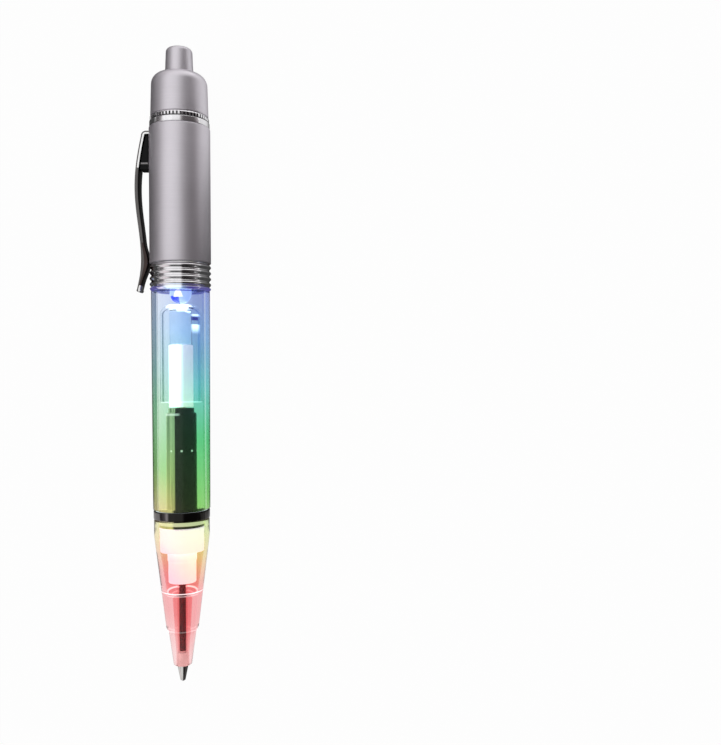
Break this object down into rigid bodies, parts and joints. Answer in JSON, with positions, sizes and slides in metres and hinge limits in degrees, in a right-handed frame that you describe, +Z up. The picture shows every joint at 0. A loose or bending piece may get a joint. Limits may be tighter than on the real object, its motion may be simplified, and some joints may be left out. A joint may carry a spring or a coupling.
{
  "type": "light-up pen",
  "caption": "Ballpoint pen with a clear barrel lit from inside by a lamp, a metal battery sleeve with a pocket clip, and a push switch in its screw cap.",
  "frame": {"origin": "on the table, on the lowest flat of the metal sleeve, under the pen's axis at half the sleeve's length", "axes": "+X along the pen towards the writing point, -Y towards the pocket clip, +Z up off the table"},
  "size_m": [0.146, 0.0171, 0.0139],
  "materials": {
    "satin_grey": "satin grey with a faint lavender tint",
    "bright_chrome": "bright plated",
    "dark_chrome": "dark plated",
    "clear_barrel": "clear, lit blue to green by the lamp",
    "clear_nose": "clear, lit yellow to red by the lamp",
    "clear_parts": "clear",
    "white_plastic": "matt white",
    "black_plastic": "matt black",
    "spring_steel": "polished spring steel",
    "nickel_silver": "nickel silver",
    "cell_steel": "nickel-plated steel can",
    "board": "green laminate",
    "refill_plastic": "translucent",
    "red_ink": "dark red ink paste"
  },
  "bodies": {
    "barrel": {"metal_sleeve": "satin_grey", "battery_tube": "white_plastic", "clip_block": "black_plastic", "ribbed_ring": "bright_chrome", "clear_barrel": "clear_barrel", "led_holder": "white_plastic", "led_lamp": "clear_parts", "led_lead_minus": "spring_steel", "led_lead_plus": "spring_steel", "circuit_board": "board", "cell_contact": "nickel_silver", "button_cell_1": "cell_steel", "button_cell_2": "cell_steel", "button_cell_3": "cell_steel", "light_capsule": "clear_parts", "light_pipe": "clear_parts", "diffuser_rod": "white_plastic", "refill_sleeve": "dark_chrome", "refill_holder": "white_plastic", "refill_tube": "refill_plastic", "ink_column": "red_ink", "writing_point": "nickel_silver"},
    "collar": {"collar_ring": "bright_chrome"},
    "cap": {"top_cap": "satin_grey", "knurled_ring": "bright_chrome", "switch_body": "black_plastic", "contact_spring": "spring_steel", "button_spring": "spring_steel"},
    "button": {"push_button": "satin_grey", "switch_plunger": "white_plastic"},
    "joint_collar": {"joint_ring": "dark_chrome"},
    "nose": {"nose_cone": "clear_nose"},
    "clip": {"pocket_clip": "spring_steel"},
    "ball": {"writing_ball": "spring_steel"}
  },
  "joints": [
    {"name": "cap_lift", "type": "slide", "parent": "barrel", "child": "collar", "axis": [-1, 0, 0], "range_m": [0, 0.004]},
    {"name": "cap_turn", "type": "hinge", "parent": "collar", "child": "cap", "pos_m": [-0.01827, 0, 0.00697], "axis": [-1, 0, 0], "range_deg": [0, 1440]},
    {"name": "button_press", "type": "slide", "parent": "cap", "child": "button", "axis": [1, 0, 0], "range_m": [0, 0.0016], "stiffness_N_per_m": 600, "springref_m": -0.001, "deforming": ["button_spring"]},
    {"name": "nose_draw", "type": "slide", "parent": "barrel", "child": "joint_collar", "axis": [1, 0, 0], "range_m": [0, 0.002]},
    {"name": "nose_turn", "type": "hinge", "parent": "joint_collar", "child": "nose", "pos_m": [0.07443, 0, 0.00697], "axis": [1, 0, 0], "range_deg": [0, 720]},
    {"name": "clip_flex", "type": "hinge", "parent": "barrel", "child": "clip", "pos_m": [-0.01438, -0.007, 0.00697], "axis": [0, 0, -1], "range_deg": [0, 5], "stiffness_Nm_per_rad": 0.3, "springref_deg": -2.86},
    {"name": "ball_roll", "type": "hinge", "parent": "barrel", "child": "ball", "pos_m": [0.11148, 0, 0.00697], "axis": [0, 1, 0], "continuous": true}
  ],
  "couplings": [
    {"joint": "cap_turn", "follows": "cap_lift", "rad_per_m": 6283.2},
    {"joint": "nose_turn", "follows": "nose_draw", "rad_per_m": 6283.2}
  ]
}
